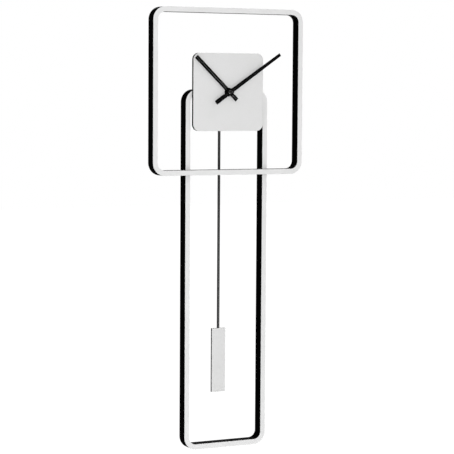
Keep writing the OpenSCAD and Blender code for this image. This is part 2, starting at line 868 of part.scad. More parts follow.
module rotor_magnet() {
    color("#4a4c50") at_xz(rotor_c) difference() {
        post(2.4, magnet_y, magnet_y + 2.6);
        post(0.5, magnet_y - 1, magnet_y + 4);
    }
}

module setting_shaft() {
    color("#e6dcc2") at_xz(set_c) {
        slab(motion_y - 0.2, motion_y + 1.2) rotate(set_a) leaf_shape(cannon_teeth, motion_module);
        post(0.8, floor_y - 0.8, motion_y - 0.1);
        post(shaft_r, motion_y + 1.15, knob_y + 1.2);
    }
}

module setting_knob() {
    color("#202020") at_xz(set_c) difference() {
        union() {
            slab(knob_y, knob_y + 4.2) difference() {
                circle(r = 5.2);
                for (i = [0 : 15]) rotate(i * 22.5) translate([5.5, 0]) circle(r = 0.55, $fn = 16);
            }
        }
        post(shaft_r, knob_y - 1, knob_y + 1.2);
        post(3.4, knob_y + 3.6, knob_y + 5);
    }
}

// ---- pendulum ----

module leader() {
    color("#242424") difference() {
        union() {
            at_xz([0, -pivot_drop]) post(4.6, case_back_y + 0.7, bridge_y - 0.7);
            slab(leader_y, leader_y + leader_thick)
                translate([-leader_w / 2, hook_z - 4]) square([leader_w, -pivot_drop - hook_z + 4]);
            at_xz([0, coil_z]) post(magnet_r + 1.2, leader_y - 1.4, leader_y + 3.2);
            slab(rod_y - 2.2, rod_y + 2.2) translate([-leader_w / 2, hook_z - 4]) square([leader_w, 9]);
        }
        at_xz([0, -pivot_drop]) post(pin_r + run_play, case_back_y, bridge_y);
        at_xz([0, coil_z]) post(magnet_r, case_back_y, leader_y + 1.2);
        slab(rod_y - 0.8, rod_y + 0.8) translate([-leader_w, hook_z - 5]) square([2 * leader_w, 9.5]);
        at_xz([0, hook_z]) post(hook_pin_r, rod_y - 3, rod_y + 3);
    }
}

module leader_magnet() {
    color("#6b6e72") at_xz([0, coil_z]) post(magnet_r, case_back_y + 0.8, leader_y + 1.2);
}

module hook_pin() {
    color("#c3c7ca") at_xz([0, hook_z]) post(hook_pin_r, rod_y - 2.2, rod_y + 2.2);
}

module rod_hook() {
    color("#9a9da0") difference() {
        slab(rod_y - 0.6, rod_y + 0.6) {
            translate([-2.1, rod_top - 10]) square([4.2, hook_z - rod_top + 10]);
            translate([0, hook_z]) circle(r = 2.6);
        }
        at_xz([0, hook_z]) post(hook_pin_r, rod_y - 3, rod_y + 3);
    }
}

module pendulum_rod() {
    color("#3a3a3a") difference() {
        translate([0, rod_y, 0]) {
            upright(rod_dia / 2, -bob_drop, rod_top);
            upright(spigot_r, -bob_drop - 16, -bob_drop + 1);
        }
        slab(rod_y - 0.6, rod_y + 0.6) translate([-2.1, rod_top - 10]) square([4.2, 11]);
    }
}

module bob_board() {
    color("#0e0e0e") difference() {
        slab(bob_face_y + face_thick, bob_face_y + face_thick + bob_board_thick)
            translate([0, bob_mid]) square([bob_width, bob_height], center = true);
        translate([0, rod_y, 0]) upright(spigot_r, -bob_drop - 16, -bob_drop + 1);
    }
}

module bob_face() {
    color("#e4e4e4") slab(bob_face_y, bob_face_y + face_thick)
        translate([0, bob_mid]) square([bob_width, bob_height], center = true);
}

placed() upper_frame();
placed() upper_face();
placed() lower_frame();
placed() lower_face();
placed() dial_board();
placed() dial_face();
placed() back_box();
placed() hanger_plate();
placed() hanger_screws();
placed() frame_screws();
placed() dial_screws();
placed() wall_spacers();
placed() wall_pads();
placed() case_front();
placed() case_rear();
placed() case_screws();
placed() gasket();
placed() dial_washer();
placed() bush_nut();
placed() bearing_plate();
placed() plate_screws();
placed() stator();
placed() motor_bobbin();
placed() motor_winding();
placed() circuit_board();
placed() chip_cover();
placed() crystal();
placed() battery();
placed() contact_plus();
placed() contact_minus();
placed() drive_bobbin();
placed() drive_winding();
placed() pivot_pin();
placed() swing_bridge();
placed() bridge_screws();
placed() hour_hand();
placed() hour_wheel();
placed() minute_hand();
placed() hand_cap();
placed() centre_arbor();
placed() centre_wheel();
placed() minute_wheel();
placed() third_wheel();
placed() rotor_pinion();
placed() rotor_magnet();
placed() setting_shaft();
placed() setting_knob();
placed() leader();
placed() leader_magnet();
placed() hook_pin();
placed() rod_hook();
placed() pendulum_rod();
placed() bob_board();
placed() bob_face();
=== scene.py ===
import json
import math

import bpy
from mathutils import Matrix, Vector


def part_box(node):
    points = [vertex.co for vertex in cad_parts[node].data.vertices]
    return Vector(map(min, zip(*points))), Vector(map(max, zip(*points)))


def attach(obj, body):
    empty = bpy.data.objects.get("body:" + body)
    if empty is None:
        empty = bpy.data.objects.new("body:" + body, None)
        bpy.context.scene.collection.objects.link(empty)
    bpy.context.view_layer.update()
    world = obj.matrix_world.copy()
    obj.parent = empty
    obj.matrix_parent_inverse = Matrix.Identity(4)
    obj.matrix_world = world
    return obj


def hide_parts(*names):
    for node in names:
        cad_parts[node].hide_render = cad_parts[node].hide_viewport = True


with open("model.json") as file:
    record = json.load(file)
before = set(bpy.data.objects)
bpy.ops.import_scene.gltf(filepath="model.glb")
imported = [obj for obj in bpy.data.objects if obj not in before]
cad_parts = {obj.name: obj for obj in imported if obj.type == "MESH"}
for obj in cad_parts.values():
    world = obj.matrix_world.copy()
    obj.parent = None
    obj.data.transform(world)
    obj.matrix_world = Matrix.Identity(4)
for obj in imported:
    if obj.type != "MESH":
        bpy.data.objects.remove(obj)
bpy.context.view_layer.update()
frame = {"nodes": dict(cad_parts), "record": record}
record = frame["record"]
nodes = frame["nodes"]
slotOf = {part["node"]: part["material_slot"] for part in record["subparts"]}
bodyOf = {name: body for body, names in record["behaviour"]["bodies"].items() for name in names}
mm = 0.001
print("frame loaded,", len(nodes), "nodes")


def fromHex(text):
    # sRGB hex to the linear colour that a socket takes
    channels = [int(text[i:i + 2], 16) / 255 for i in (1, 3, 5)]
    linear = [c / 12.92 if c <= 0.04045 else ((c + 0.055) / 1.055) ** 2.4 for c in channels]
    return (*linear, 1.0)


def addNode(tree, kind, inputs=None, **settings):
    # a node with its settings, where each input is a value or another node's socket
    node = tree.nodes.new(kind)
    for name, value in settings.items():
        setattr(node, name, value)
    for key, value in (inputs or {}).items():
        if isinstance(value, bpy.types.NodeSocket):
            tree.links.new(value, node.inputs[key])
        else:
            node.inputs[key].default_value = value
    return node


def startMaterial(look):
    # "shader" holds what is the same all over the surface
    material = bpy.data.materials.new(look["name"])
    material.use_nodes = True
    tree = material.node_tree
    tree.nodes.clear()
    shader = addNode(tree, "ShaderNodeBsdfPrincipled", look.get("shader"))
    addNode(tree, "ShaderNodeOutputMaterial", {"Surface": shader.outputs[0]})
    place = addNode(tree, "ShaderNodeTexCoord").outputs["Object"]
    return material, tree, shader, place


def grain(tree, place, sizeMm, detail=3.0):
    # noise whose lumps are sizeMm across, with one size or one for each axis
    sizes = sizeMm if isinstance(sizeMm, tuple) else (sizeMm,) * 3
    stretched = addNode(tree, "ShaderNodeMapping", {
        "Vector": place, "Scale": [1 / (size * mm) for size in sizes]})
    noise = addNode(tree, "ShaderNodeTexNoise", {
        "Vector": stretched.outputs[0], "Scale": 1.0, "Detail": detail})
    return noise.outputs[0]


def shade(tree, pattern, span, first, second, most=1.0):
    # goes from the first colour to the second as the pattern rises over span, or only the share
    # of the way that most gives. A colour is hex text or another node's socket
    share = addNode(tree, "ShaderNodeMapRange", {
        "Value": pattern, "From Min": span[0], "From Max": span[1], "To Max": most})
    ends = [fromHex(end) if isinstance(end, str) else end for end in (first, second)]
    # of the mix node's sockets, inputs 6 and 7 and output 2 are the ones for colours
    mix = addNode(tree, "ShaderNodeMix", {
        0: share.outputs[0], 6: ends[0], 7: ends[1]}, data_type="RGBA")
    return mix.outputs[2]


def finishSurface(tree, shader, look, colour, wear, relief):
    # the roughness goes from least to most with the wear pattern, and the bump follows the
    # relief, with a depth in mm and a strength
    low, high = look.get("wearSpan", (0.3, 0.7))
    least, most = look["roughness"]
    rough = addNode(tree, "ShaderNodeMapRange", {
        "Value": wear, "From Min": low, "From Max": high, "To Min": least, "To Max": most})
    depthMm, strength = look["bump"]
    bump = addNode(tree, "ShaderNodeBump", {
        "Height": relief, "Distance": depthMm * mm, "Strength": strength})
    tree.links.new(colour, shader.inputs["Base Color"])
    tree.links.new(rough.outputs[0], shader.inputs["Roughness"])
    tree.links.new(bump.outputs[0], shader.inputs["Normal"])


def grainedFinish(look):
    # one grain tints the surface, and it or a finer one wears it and gives its relief
    material, tree, shader, place = startMaterial(look)
    tint = grain(tree, place, look["grainMm"], look.get("detail", 3.0))
    wear = grain(tree, place, look["wearMm"]) if "wearMm" in look else tint
    relief = grain(tree, place, look["reliefMm"]) if "reliefMm" in look else wear
    colour = shade(tree, tint, look["tintSpan"], *look["colours"])
    finishSurface(tree, shader, look, colour, wear, relief)
    return material


# Fibreboard dyed through in black. Its sides are sprayed dead matt, with a faint fibre fleck, and
# its back is left as sanded: a shade lighter, where the fibres show
fibreboard = {
    "name": "Black dyed fibreboard, sanded and sealed", "shader": {"Specular IOR Level": 0.003},
    "sprayed": ("#010101", "#070606"), "fibreMm": (0.3, 0.3, 2.2), "fibreSpan": (0.6, 0.74),
    "bare": ("#191817", "#302d2a"), "bareFibreMm": (2.6, 1.0, 0.5), "bareSpan": (0.45, 0.7),
    "detail": 4.0, "backSpan": (0.55, 0.65), "sandingMm": (12.0, 12.0, 30.0),
    "wearSpan": (0.35, 0.65), "roughness": (0.72, 0.86), "bump": (0.03, 0.6),
}


def dyedFibreboard(look):
    material, tree, shader, place = startMaterial(look)
    fibres = grain(tree, place, look["fibreMm"], look["detail"])
    sprayed = shade(tree, fibres, look["fibreSpan"], *look["sprayed"])
    bareFibres = grain(tree, place, look["bareFibreMm"], look["detail"])
    bare = shade(tree, bareFibres, look["bareSpan"], *look["bare"])
    normal = addNode(tree, "ShaderNodeNewGeometry").outputs["Normal"]
    backward = addNode(tree, "ShaderNodeSeparateXYZ", {0: normal}).outputs["Y"]
    colour = shade(tree, backward, look["backSpan"], sprayed, bare)
    sanding = grain(tree, place, look["sandingMm"])
    finishSurface(tree, shader, look, colour, sanding, fibres)
    return material


# High-pressure laminate, pressed on a matt plate: an even off-white with a fine pearl, and a
# dark resin core that shows as a thin line round each edge
laminate = {
    "shader": {"Specular IOR Level": 0.15}, "core": "#100e0c", "faceSpan": (0.45, 0.55),
    "cloud": "#d9d9d8", "cloudMm": 38.0, "cloudSpan": (0.35, 0.75), "cloudMost": 0.35,
    "fleck": "#d4d4d3", "pearlMm": 0.6, "pearlSpan": (0.55, 0.8), "detail": 2.0,
    "roughness": (0.46, 0.58), "bump": (0.03, 0.8),
}
dialLaminate = {**laminate, "name": "White laminate, matt-pressed", "white": "#e2e2e2"}
# the frames' copy is the same laminate made a shade whiter than the dial's: painted light, for the
# brighter light on the frames
paintedLightFrameLaminate = {
    **laminate, "name": "White laminate for the frames, matt-pressed", "white": "#e8e8e8",
}


def pressedLaminate(look):
    material, tree, shader, place = startMaterial(look)
    cloud = grain(tree, place, look["cloudMm"], look["detail"])
    white = shade(tree, cloud, look["cloudSpan"], look["white"], look["cloud"], look["cloudMost"])
    pearl = grain(tree, place, look["pearlMm"], look["detail"])
    flecked = shade(tree, pearl, look["pearlSpan"], white, look["fleck"])
    normal = addNode(tree, "ShaderNodeNewGeometry").outputs["Normal"]
    facing = addNode(tree, "ShaderNodeSeparateXYZ", {0: normal}).outputs["Y"]
    outward = addNode(tree, "ShaderNodeMath", {0: facing}, operation="ABSOLUTE").outputs[0]
    colour = shade(tree, outward, look["faceSpan"], look["core"], flecked)
    finishSurface(tree, shader, look, colour, pearl, pearl)
    return material


# Pressed aluminium sheet under a black satin lacquer: even black, with a slight orange peel
lacquer = {
    "name": "Pressed aluminium, black satin lacquer", "shader": {"Specular IOR Level": 0.02},
    "colours": ("#020202", "#050505"), "tintSpan": (0.35, 0.7), "grainMm": 0.9, "detail": 1.5,
    "roughness": (0.18, 0.23), "bump": (0.006, 0.5),
}

# Drawn steel rod in dark grey enamel paint: an even satin grey that keeps the draw lines
rodPaint = {
    "name": "Drawn steel, dark grey enamel", "shader": {"Specular IOR Level": 0.12},
    "colours": ("#1d1d1d", "#272727"), "tintSpan": (0.4, 0.7), "grainMm": (0.25, 0.25, 45.0),
    "roughness": (0.37, 0.5), "bump": (0.01, 0.5),
}

# Brass hardware blackened and lacquered: deep black, a little browner where the blacking is thin
blackened = {
    "name": "Turned brass, blackened and lacquered", "shader": {"Specular IOR Level": 0.12},
    "colours": ("#070707", "#131210"), "tintSpan": (0.45, 0.75), "grainMm": 0.35,
    "roughness": (0.2, 0.32), "bump": (0.008, 0.4),
}

# Steel with zinc plate: grey with a cold and a faint yellow tinge, and fine scratches. Turned
# pieces are bright, and rolled sheet is duller
zinc = {
    "shader": {"Metallic": 1.0}, "colours": ("#9aa1a8", "#a39f92"), "tintSpan": (0.4, 0.65),
    "grainMm": 14.0, "detail": 2.0, "wearMm": (0.3, 3.0, 0.3), "wearSpan": (0.3, 0.75),
    "bump": (0.006, 0.5),
}
turnedZinc = {**zinc, "name": "Turned steel, bright zinc plate", "roughness": (0.24, 0.44)}
rolledZinc = {**zinc, "name": "Rolled steel sheet, dull zinc plate", "roughness": (0.46, 0.6)}

# Steel wood screws with yellow-passivated zinc: brassy, with a greenish cast in patches
passivated = {
    "name": "Steel, yellow-passivated zinc", "shader": {"Metallic": 1.0},
    "colours": ("#b39a58", "#97945e"), "tintSpan": (0.4, 0.65), "grainMm": 1.6, "detail": 2.0,
    "reliefMm": 0.3, "roughness": (0.28, 0.42), "bump": (0.006, 0.5),
}

# Half-hard brass, stamped and barrel-polished: warm yellow with a brushed run and duller patches
brass = {
    "name": "Stamped brass, barrel-polished", "shader": {"Metallic": 1.0},
    "colours": ("#d2ab5c", "#b48f48"), "tintSpan": (0.4, 0.7), "grainMm": 3.5,
    "wearMm": (0.15, 0.15, 6.0), "roughness": (0.22, 0.4), "bump": (0.005, 0.5),
}

# Silicon-steel lamination, blanked and annealed: blue-grey oxide with soft temper clouds
coreSteel = {
    "name": "Silicon steel, blanked and annealed", "shader": {"Metallic": 1.0},
    "colours": ("#6e7278", "#59606c"), "tintSpan": (0.4, 0.65), "grainMm": 6.0,
    "reliefMm": 0.25, "roughness": (0.36, 0.52), "bump": (0.006, 0.4),
}

# Natural acetal, injection moulded: warm ivory that lets a little light in, waxy and smooth
acetal = {
    "name": "Natural acetal, moulded",
    "shader": {"Subsurface Weight": 0.12, "Subsurface Scale": 0.6 * mm},
    "colours": ("#e4dcc6", "#dbd1b6"), "tintSpan": (0.4, 0.7), "grainMm": 4.0,
    "reliefMm": 0.3, "roughness": (0.38, 0.48), "bump": (0.005, 0.3),
}

# Epoxy potting resin, poured over the chip: glossy black blob with a slow ripple
resin = {
    "name": "Epoxy potting resin, poured", "colours": ("#0c0c0c", "#1a1816"),
    "tintSpan": (0.4, 0.7), "grainMm": 3.0, "roughness": (0.12, 0.3), "bump": (0.08, 0.4),
}

# Nickel-plated spring strip, rolled and formed: a pale warm mirror with fine rolling lines
springStrip = {
    "name": "Spring steel, nickel plate", "shader": {"Metallic": 1.0},
    "colours": ("#d4d0c6", "#bcb7a9"), "tintSpan": (0.4, 0.7), "grainMm": (0.1, 0.1, 5.0),
    "roughness": (0.16, 0.3), "bump": (0.004, 0.4),
}

# Ferrite, pressed and sintered: charcoal grey, grainy, with pale pits at the surface
ferrite = {
    "name": "Ferrite, sintered", "colours": ("#4c4e52", "#6e7074"), "tintSpan": (0.55, 0.7),
    "grainMm": 0.3, "detail": 4.0, "roughness": (0.6, 0.8), "bump": (0.03, 0.6),
}

# Nitrile rubber, die-cut: soft black with a dusty bloom
rubber = {
    "name": "Nitrile rubber, die-cut", "colours": ("#141414", "#222120"), "tintSpan": (0.5, 0.75),
    "grainMm": 0.5, "detail": 4.0, "roughness": (0.78, 0.92), "bump": (0.03, 0.5),
}

# ABS moulded in a spark-eroded tool: black, with an even fine pebble that breaks up the light. The
# real pebble is about 0.1 mm, and it is drawn at 0.7 mm, since a finer one wouldn't show
absPlastic = {
    "name": "Moulded black ABS, spark-eroded", "shader": {"Specular IOR Level": 0.3},
    "colours": ("#131313", "#1d1d1e"), "tintSpan": (0.35, 0.7), "flowMm": 14.0, "detail": 2.0,
    "pebbleMm": 0.7, "roughness": (0.4, 0.54), "bump": (0.06, 0.7),
}


def mouldedAbs(look):
    material, tree, shader, place = startMaterial(look)
    pebble = addNode(tree, "ShaderNodeTexVoronoi", {
        "Vector": place, "Scale": 1 / (look["pebbleMm"] * mm)}, feature="SMOOTH_F1")
    flow = grain(tree, place, look["flowMm"], look["detail"])
    colour = shade(tree, flow, look["tintSpan"], *look["colours"])
    finishSurface(tree, shader, look, colour, flow, pebble.outputs["Distance"])
    return material


# Enamelled copper wire, machine wound: rows of red-brown turns. The real wire is 0.06 mm, and
# the rows are drawn 0.35 mm apart, since finer ones wouldn't show
winding = {
    "shader": {"Metallic": 0.85}, "groove": "#4a1f10", "copper": "#b3592c", "turnSpan": (0.1, 0.6),
    "turnMm": 0.35, "sway": 0.4, "detail": 1.0, "filmMm": 1.2, "roughness": (0.25, 0.4),
    "bump": (0.12, 0.7),
}
uprightWinding = {**winding, "name": "Enamelled copper, layer-wound upright", "axis": "Z"}
flatWinding = {**winding, "name": "Enamelled copper, layer-wound flat", "axis": "Y"}


def woundCopper(look):
    material, tree, shader, place = startMaterial(look)
    # at a scale of 1, the bands of the wave texture are pi / 10 apart
    rows = addNode(tree, "ShaderNodeTexWave", {
        "Vector": place, "Scale": math.pi / (10 * look["turnMm"] * mm), "Distortion": look["sway"],
        "Detail": look["detail"]}, bands_direction=look["axis"], wave_profile="SIN")
    turns = rows.outputs["Fac"]
    colour = shade(tree, turns, look["turnSpan"], look["groove"], look["copper"])
    finishSurface(tree, shader, look, colour, grain(tree, place, look["filmMm"]), turns)
    return material


# Glass-fibre board under green solder mask: tracks show as paler bands below a glossy film
board = {
    "name": "Glass-fibre board, green solder mask", "shader": {"Coat Weight": 0.4},
    "track": "#2b7a4a", "mask": "#14502f", "trackMm": 2.4, "wander": 0.35, "trackSpan": (0.1, 0.14),
    "filmMm": 0.5, "roughness": (0.3, 0.42), "bump": (0.03, 0.4),
}


def solderMaskedBoard(look):
    material, tree, shader, place = startMaterial(look)
    cells = addNode(tree, "ShaderNodeTexVoronoi", {
        "Vector": place, "Scale": 1 / (look["trackMm"] * mm), "Randomness": look["wander"]},
        feature="DISTANCE_TO_EDGE")
    low, high = look["trackSpan"]
    step = addNode(tree, "ShaderNodeMapRange", {
        "Value": cells.outputs["Distance"], "From Min": low, "From Max": high}).outputs[0]
    mix = addNode(tree, "ShaderNodeMix", {
        0: step, 6: fromHex(look["track"]), 7: fromHex(look["mask"])}, data_type="RGBA")
    film = grain(tree, place, look["filmMm"])
    finishSurface(tree, shader, look, mix.outputs[2], film, step)
    return material


# PVC sleeve shrunk over a steel can: dark and glossy, with one pale band under the plus end. It
# ends where the plus nub begins
sleeve = {
    "name": "PVC sleeve, heat-shrunk", "shader": {"Coat Weight": 0.3}, "nubMm": 1.2,
    "dark": "#1f2927", "band": "#a8854a", "bandMm": 11.0, "blurMm": 0.05,
    "wrinkleMm": (2.0, 2.0, 7.0), "roughness": (0.2, 0.32), "bump": (0.03, 0.4),
}


def shrunkSleeve(look):
    material, tree, shader, place = startMaterial(look)
    height = addNode(tree, "ShaderNodeSeparateXYZ", {0: place}).outputs["Z"]
    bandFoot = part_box("battery")[1].z - (look["nubMm"] + look["bandMm"]) * mm
    blur = look["blurMm"] * mm
    colour = shade(tree, height, (bandFoot - blur, bandFoot + blur), look["dark"], look["band"])
    wrinkle = grain(tree, place, look["wrinkleMm"])
    finishSurface(tree, shader, look, colour, wrinkle, wrinkle)
    return material


# the finish of each of the record's material slots
finishes = {
    "black_mdf": dyedFibreboard(fibreboard),
    "white_laminate": pressedLaminate(dialLaminate),
    "black_plastic": mouldedAbs(absPlastic),
    "zinc_steel": grainedFinish(turnedZinc),
    "black_rubber": grainedFinish(rubber),
    "black_metal": grainedFinish(blackened),
    "black_hand": grainedFinish(lacquer),
    "dark_rod": grainedFinish(rodPaint),
    "brass": grainedFinish(brass),
    "motor_steel": grainedFinish(coreSteel),
    "ivory_plastic": grainedFinish(acetal),
    "copper_wire": woundCopper(uprightWinding),
    "board_green": solderMaskedBoard(board),
    "chip_resin": grainedFinish(resin),
    "cell_sleeve": shrunkSleeve(sleeve),
    "spring_steel": grainedFinish(springStrip),
    "magnet_grey": grainedFinish(ferrite),
}
finishOf = {name: finishes[slot] for name, slot in slotOf.items()}

# a few nodes look different from the rest of their slot
finishOf["drive_winding"] = woundCopper(flatWinding)
finishOf["hanger_plate"] = grainedFinish(rolledZinc)
woodScrew = grainedFinish(passivated)
for name in ("hanger_screws", "frame_screws", "dial_screws"):
    finishOf[name] = woodScrew
# the frames' faces take the whiter copy of the laminate, which is painted light
paintedLightFrameFace = pressedLaminate(paintedLightFrameLaminate)
for name in ("upper_face", "lower_face"):
    finishOf[name] = paintedLightFrameFace
print("materials made:", len(bpy.data.materials))

# the CAD nodes keep their shape and get their finish
for name, node in nodes.items():
    node.data.materials.clear()
    node.data.materials.append(finishOf[name])


def addObject(name, data):
    thing = bpy.data.objects.new(name, data)
    bpy.context.scene.collection.objects.link(thing)
    return thing


def addMesh(name, vertices, faces, finish):
    mesh = bpy.data.meshes.new(name)
    mesh.from_pydata(vertices, [], faces)
    mesh.materials.append(finish)
    return addObject(name, mesh)


def dress(piece, body, slot, *replaced):
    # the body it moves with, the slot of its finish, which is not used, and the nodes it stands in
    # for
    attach(piece, body)
    if replaced:
        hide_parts(*replaced)


# angles in degrees: faces within flatWithin of each other become one flat, edges that turn more
# than bevelFrom are broken, and edges that turn less than smoothBelow are shaded smooth
softening = {
    "weldMm": 0.002, "flatWithin": 0.4, "bevelFrom": 40, "bevelSteps": 2, "smoothBelow": 32,
    "flatWeight": 100,
}

# edge radius in mm that the tool, the sanding or the mould leaves on each piece
edgeMm = {
    "upper_frame": 0.35, "lower_frame": 0.35, "upper_face": 0.12, "lower_face": 0.12,
    "dial_board": 0.3, "dial_face": 0.12, "bob_board": 0.25, "bob_face": 0.12,
    "back_box": 0.5, "case_front": 0.3, "case_rear": 0.12, "setting_knob": 0.15,
    "swing_bridge": 0.3, "leader": 0.35, "hanger_plate": 0.18, "rod_hook": 0.12,
    "hour_hand": 0.1, "minute_hand": 0.1, "bush_nut": 0.2, "dial_washer": 0.12,
    "case_screws": 0.1, "dial_screws": 0.1, "frame_screws": 0.1, "bridge_screws": 0.08,
    "hanger_screws": 0.08, "wall_spacers": 0.25, "wall_pads": 0.2,
}


def breakEdges(piece, radiusMm):
    bevel = piece.modifiers.new("bevel", "BEVEL")
    bevel.width = radiusMm * mm
    bevel.segments = softening["bevelSteps"]
    bevel.limit_method = "ANGLE"
    bevel.angle_limit = math.radians(softening["bevelFrom"])


def applyModifiers(piece):
    graph = bpy.context.evaluated_depsgraph_get()
    done = bpy.data.meshes.new_from_object(piece.evaluated_get(graph))
    piece.modifiers.clear()
    old = piece.data
    piece.data = done
    bpy.data.meshes.remove(old)


def smoothShade(piece, degrees=softening["smoothBelow"]):
    # large flats keep their own normal, and the narrow edge strips turn between them
    mesh = piece.data
    mesh.polygons.foreach_set("use_smooth", [True] * len(mesh.polygons))
    mesh.set_sharp_from_angle(angle=math.radians(degrees))
    weighted = piece.modifiers.new("weighted", "WEIGHTED_NORMAL")
    weighted.keep_sharp = True
    weighted.weight = softening["flatWeight"]
    applyModifiers(piece)


def soften(name, radiusMm):
    # the node's own solid, with its edges broken as the real ones are
    source = nodes[name].data
    vertices = [vertex.co.copy() for vertex in source.vertices]
    faces = [tuple(polygon.vertices) for polygon in source.polygons]
    piece = addMesh(name + ".soft", vertices, faces, finishOf[name])
    weld = piece.modifiers.new("weld", "WELD")
    weld.merge_threshold = softening["weldMm"] * mm
    flatten = piece.modifiers.new("flatten", "DECIMATE")
    flatten.decimate_type = "DISSOLVE"
    flatten.angle_limit = math.radians(softening["flatWithin"])
    breakEdges(piece, radiusMm)
    applyModifiers(piece)
    smoothShade(piece)
    dress(piece, bodyOf[name], slotOf[name], name)


for name, radiusMm in edgeMm.items():
    soften(name, radiusMm)
print("softened pieces:", len(edgeMm))


def turned(name, profile, finish, centre, axis="Z", steps=48):
    # spins (radius, height) points round the axis. A point at radius 0 closes the end
    vertices = []
    rows = []
    for radius, height in profile:
        count = steps if radius else 1
        rows.append(range(len(vertices), len(vertices) + count))
        for i in range(count):
            angle = 2 * math.pi * i / steps
            vertices.append(Vector((radius * math.cos(angle), radius * math.sin(angle), height)))
    faces = []
    for low, high in zip(rows, rows[1:]):
        for i in range(steps):
            j = (i + 1) % steps
            ring = [low[i % len(low)], low[j % len(low)], high[j % len(high)], high[i % len(high)]]
            face = list(dict.fromkeys(ring))
            if len(face) > 2:
                faces.append(face)
    turn = Matrix.Rotation(math.radians(-90), 4, "X") if axis == "Y" else Matrix.Identity(4)
    piece = addMesh(name, [turn @ vertex + Vector(centre) for vertex in vertices], faces, finish)
    smoothShade(piece)
    return piece


# the pendulum rod, with the small chamfer that parting off leaves at both ends and a thin tenon
# that stands in the bob
rod = {"chamferMm": 0.3, "tenonMm": 2.0, "tenonShare": 0.4, "seatMm": 0.02}


def makeRod():
    low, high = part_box("pendulum_rod")
    radius = (high.x - low.x) / 2
    tenon = radius * rod["tenonShare"]
    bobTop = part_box("bob_board")[1].z
    foot = bobTop - rod["tenonMm"] * mm
    seat = bobTop + rod["seatMm"] * mm
    chamfer = rod["chamferMm"] * mm
    profile = [
        (0, foot), (tenon, foot), (tenon, seat), (radius - chamfer, seat),
        (radius, bobTop + chamfer), (radius, high.z - chamfer), (radius - chamfer, high.z),
        (0, high.z)]
    centre = ((low.x + high.x) / 2, (low.y + high.y) / 2, 0)
    piece = turned("pendulumRod", profile, finishes["dark_rod"], centre)
    dress(piece, "pendulum", "dark_rod", "pendulum_rod")


# the cap nut on the arbor: a straight rim under a dome, which is a little fuller than a round one
cap = {"rimShare": 0.35, "fullness": 0.8, "domeSteps": 8}


def makeCap():
    low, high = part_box("hand_cap")
    radius = (high.x - low.x) / 2
    tall = high.y - low.y
    rim = cap["rimShare"] * tall
    dome = []
    for i in range(cap["domeSteps"]):
        rise = math.radians(90 * i / cap["domeSteps"])
        out = radius * math.cos(rise) ** cap["fullness"]
        dome.append((out, rim + (tall - rim) * math.sin(rise)))
    profile = [(0, 0), (radius, 0), *dome, (0, tall)]
    forward = [(out, -height) for out, height in reversed(profile)]
    centre = ((low.x + high.x) / 2, high.y, (low.z + high.z) / 2)
    piece = turned("capNut", forward, finishes["black_metal"], centre, axis="Y")
    dress(piece, "minute", "black_metal", "hand_cap")


# the AA cell: a steel can in its sleeve, with a crimp under the plus end and rolled sleeve lips.
# Each point gives how far in from the sleeve it lies, the level it is counted from and its height
# above that level, all in mm. A point of the nub gives its radius first
cell = {
    "crimpDropMm": 3.2,
    "can": (
        (1.4, "foot", 0.0), (0.9, "foot", 0.15), (0.5, "foot", 0.5), (0.5, "shoulder", -0.6),
        (1.0, "shoulder", -0.1)),
    "nub": ((2.9, "shoulder", 0.0), (2.7, "shoulder", 0.2), (2.7, "top", -0.3), (2.4, "top", 0.0)),
    "sleeve": (
        (1.7, "foot", 0.02), (0.6, "foot", 0.05), (0.1, "foot", 0.45), (0.0, "foot", 0.9),
        (0.0, "crimp", -1.0), (0.35, "crimp", -0.3), (0.35, "crimp", 0.3), (0.0, "crimp", 1.0),
        (0.0, "shoulder", -0.9), (0.2, "shoulder", -0.36), (0.9, "shoulder", 0.1),
        (2.2, "shoulder", 0.12)),
}


def makeCell():
    low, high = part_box("battery")
    centre = ((low.x + high.x) / 2, (low.y + high.y) / 2, 0)
    radius = (high.x - low.x) / 2
    shoulder = high.z - sleeve["nubMm"] * mm
    crimp = shoulder - cell["crimpDropMm"] * mm
    levels = {"foot": low.z, "crimp": crimp, "shoulder": shoulder, "top": high.z}
    can = [(radius - inset * mm, levels[at] + up * mm) for inset, at, up in cell["can"]]
    nub = [(out * mm, levels[at] + up * mm) for out, at, up in cell["nub"]]
    wrap = [(radius - inset * mm, levels[at] + up * mm) for inset, at, up in cell["sleeve"]]
    whole = [(0, low.z), *can, *nub, (0, high.z)]
    core = turned("cellCan", whole, finishes["zinc_steel"], centre)
    dress(core, "cell", "zinc_steel")
    jacket = turned("cellSleeve", wrap, finishes["cell_sleeve"], centre)
    dress(jacket, "cell", "cell_sleeve", "battery")


# the minus contact: a plate with a conical spring, wound from wire and open at the top. The wire
# stands in the plate by the share of its radius that sunk gives
minusSpring = {
    "wireRadiusMm": 0.25, "footMm": 3.1, "headMm": 1.5, "turns": 3.0, "stepsPerTurn": 20,
    "wireFacets": 3, "sunk": 0.2, "smoothBelow": 40, "plateMm": 0.4, "plateEdgeMm": 0.08,
}


